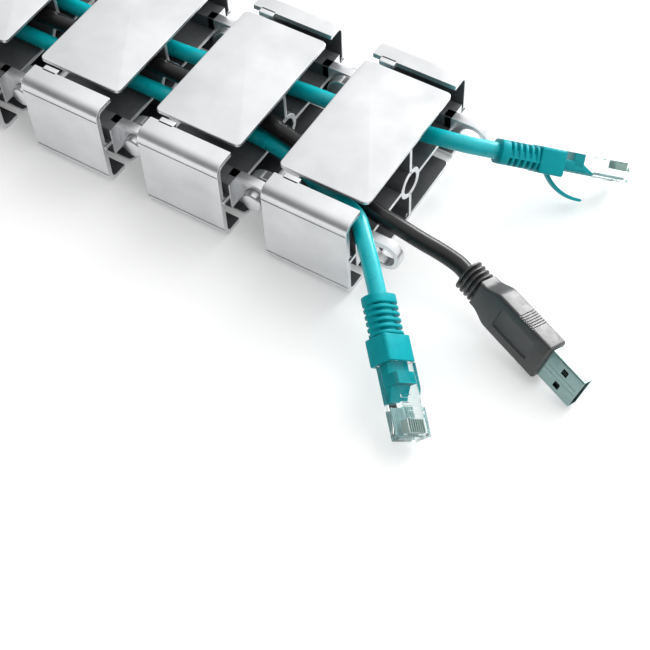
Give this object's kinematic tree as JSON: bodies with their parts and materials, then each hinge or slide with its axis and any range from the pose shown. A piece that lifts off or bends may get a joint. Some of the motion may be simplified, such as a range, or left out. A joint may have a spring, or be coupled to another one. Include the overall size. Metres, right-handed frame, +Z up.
{
  "type": "cable spine",
  "caption": "Cable spine of hinged moulded vertebrae with open channels and side slots, carrying network and data leads that end in their plugs.",
  "frame": {"origin": "middle of the chain's footprint, on the surface that it lies on, leads left out", "axes": "+X along the chain towards the end that the plugs come out of, +Y across it away from the viewer, +Z up"},
  "size_m": [0.5112, 0.1416, 0.036],
  "materials": {
    "silver_moulding": "satin silver lacquer on moulded plastic",
    "teal_jacket": "smooth extruded jacket",
    "teal_boot": "soft moulded boot",
    "black_jacket": "smooth extruded jacket",
    "black_grip": "fine satin moulding",
    "clear_moulding": "clear polished moulding",
    "gold_contact": "plated blade",
    "plated_shell": "nickel plated sheet",
    "dark_insulator": "moulded insulator"
  },
  "bodies": {
    "front": {"vertebra_5": "silver_moulding", "near_boot": "teal_boot", "near_clear_body": "clear_moulding", "near_contacts": "gold_contact", "far_boot": "teal_boot", "far_clear_body": "clear_moulding", "far_contacts": "gold_contact", "front_data_grip": "black_grip", "front_data_shell": "plated_shell", "front_data_tab": "dark_insulator", "front_data_contacts": "gold_contact"},
    "link_4": {"vertebra_4": "silver_moulding"},
    "link_3": {"vertebra_3": "silver_moulding"},
    "link_2": {"vertebra_2": "silver_moulding", "near_lead": "teal_jacket", "far_lead": "teal_jacket", "data_lead": "black_jacket"},
    "rear": {"vertebra_1": "silver_moulding", "near_tail_boot": "teal_boot", "near_tail_clear_body": "clear_moulding", "near_tail_contacts": "gold_contact", "far_tail_boot": "teal_boot", "far_tail_clear_body": "clear_moulding", "far_tail_contacts": "gold_contact", "tail_data_grip": "black_grip", "tail_data_shell": "plated_shell", "tail_data_tab": "dark_insulator", "tail_data_contacts": "gold_contact"}
  },
  "joints": [
    {"name": "hinge_4", "type": "hinge", "parent": "front", "child": "link_4", "pos_m": [0.075, 0, 0.018], "axis": [0, 1, 0], "range_deg": [-45, 45], "deforming": ["near_lead", "far_lead", "data_lead"]},
    {"name": "hinge_3", "type": "hinge", "parent": "link_4", "child": "link_3", "pos_m": [0.025, 0, 0.018], "axis": [0, 1, 0], "range_deg": [-45, 45], "deforming": ["near_lead", "far_lead", "data_lead"]},
    {"name": "hinge_2", "type": "hinge", "parent": "link_3", "child": "link_2", "pos_m": [-0.025, 0, 0.018], "axis": [0, 1, 0], "range_deg": [-45, 45], "deforming": ["near_lead", "far_lead", "data_lead"]},
    {"name": "hinge_1", "type": "hinge", "parent": "link_2", "child": "rear", "pos_m": [-0.075, 0, 0.018], "axis": [0, 1, 0], "range_deg": [-45, 45], "deforming": ["near_lead", "far_lead", "data_lead"]}
  ]
}
